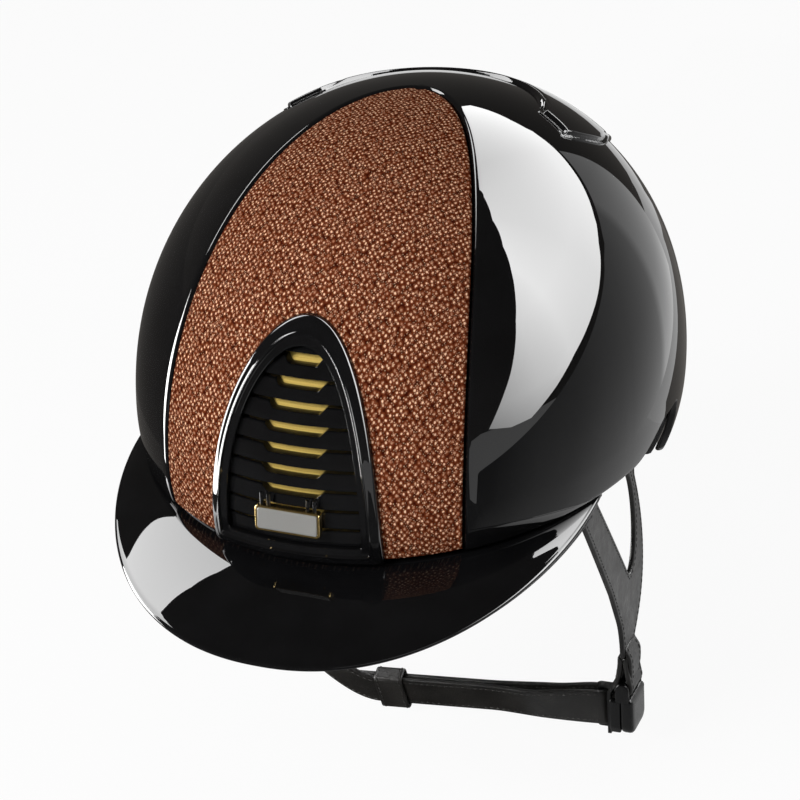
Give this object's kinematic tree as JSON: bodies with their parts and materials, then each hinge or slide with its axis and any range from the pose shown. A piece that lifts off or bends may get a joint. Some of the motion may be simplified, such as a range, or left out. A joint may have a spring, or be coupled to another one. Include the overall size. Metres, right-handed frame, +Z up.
{
  "type": "riding helmet",
  "caption": "Hard riding helmet with a wide visor, glitter fabric front insert, arched vent grilles, a pull-out comfort liner and a leather harness with a magnetic buckle.",
  "frame": {"origin": "centre of the head opening, on the wearer's centre plane, 17 mm below the widest plane", "axes": "+X to the wearer's left, -Y to the front (visor), +Z up through the crown"},
  "size_m": [0.2162, 0.3037, 0.2853],
  "materials": {
    "shell": "polished gloss black",
    "carrier": "matt black carrier",
    "insert_fabric": "copper glitter weave",
    "grille_frame": "gloss black",
    "louvre": "satin black",
    "mesh": "fine gold mesh",
    "hardware": "black moulded",
    "badge_metal": "polished gold",
    "badge_plate": "satin, bare",
    "visor": "polished gloss black",
    "visor_lining": "matt black textile",
    "cover": "polished gloss black",
    "foam": "black expanded foam",
    "band": "matt black edge band",
    "hook_loop": "hook and loop",
    "leather": "black stitched leather",
    "steel": "dark nickel",
    "textile": "padded black textile",
    "buckle": "black moulded",
    "magnet": "plated disc"
  },
  "bodies": {
    "helmet": {"outer_shell": "shell", "front_insert_carrier": "carrier", "front_insert_fabric": "insert_fabric", "front_grille_frame": "grille_frame", "front_grille_louvres": "louvre", "front_grille_mesh": "mesh", "front_grille_pins": "hardware", "badge_rim": "badge_metal", "badge_plate": "badge_plate", "badge_clips": "badge_metal", "visor": "visor", "visor_lining": "visor_lining", "visor_rivets": "hardware", "crown_cover": "cover", "crown_vent_grilles": "louvre", "rear_grille_frame": "grille_frame", "rear_grille_louvres": "louvre", "rear_grille_mesh": "mesh", "rear_grille_pins": "hardware", "foam_liner": "foam", "rim_band": "band", "hook_loop_dots": "hook_loop", "left_strap_anchors": "hardware", "right_strap_anchors": "hardware", "left_strap_ends": "leather", "right_strap_ends": "leather", "anchor_rivets": "steel"},
    "liner": {"liner_bowl": "textile", "crown_pad": "textile", "brow_pad": "textile", "left_side_pad": "textile", "right_side_pad": "textile", "nape_pad": "textile"},
    "left_strap": {"left_side_strap": "leather", "left_strap_loop": "leather", "left_strap_leaf": "leather", "buckle_base": "buckle", "buckle_magnet": "magnet"},
    "right_strap": {"right_side_strap": "leather", "right_strap_loop": "leather", "right_ring": "steel"},
    "chin_strap": {"chin_strap": "leather", "chin_strap_tail": "leather", "chin_strap_turn": "leather", "chin_strap_loop": "leather", "buckle_tongue": "buckle", "tongue_magnet": "magnet"},
    "keeper": {"strap_keeper": "leather"}
  },
  "joints": [
    {"name": "left_strap_swing", "type": "hinge", "parent": "helmet", "child": "left_strap", "pos_m": [0.084, -0.047, -0.002], "axis": [-0.0468, -0.9988, 0.0156], "range_deg": [0, 15]},
    {"name": "right_strap_swing", "type": "hinge", "parent": "helmet", "child": "right_strap", "pos_m": [-0.084, -0.047, -0.002], "axis": [-0.0468, 0.9988, -0.0156], "range_deg": [0, 15]},
    {"name": "chin_strap_swing", "type": "hinge", "parent": "right_strap", "child": "chin_strap", "pos_m": [-0.09372, 0.00521, -0.10407], "axis": [-0.0468, 0.9988, -0.0156], "range_deg": [0, 80]},
    {"name": "keeper_slide", "type": "slide", "parent": "chin_strap", "child": "keeper", "axis": [0.9929, 0, 0.1191], "range_m": [0, 0.04]},
    {"name": "liner_pull_out", "type": "slide", "parent": "helmet", "child": "liner", "axis": [0, 0, -1], "range_m": [0, 0.08]}
  ]
}
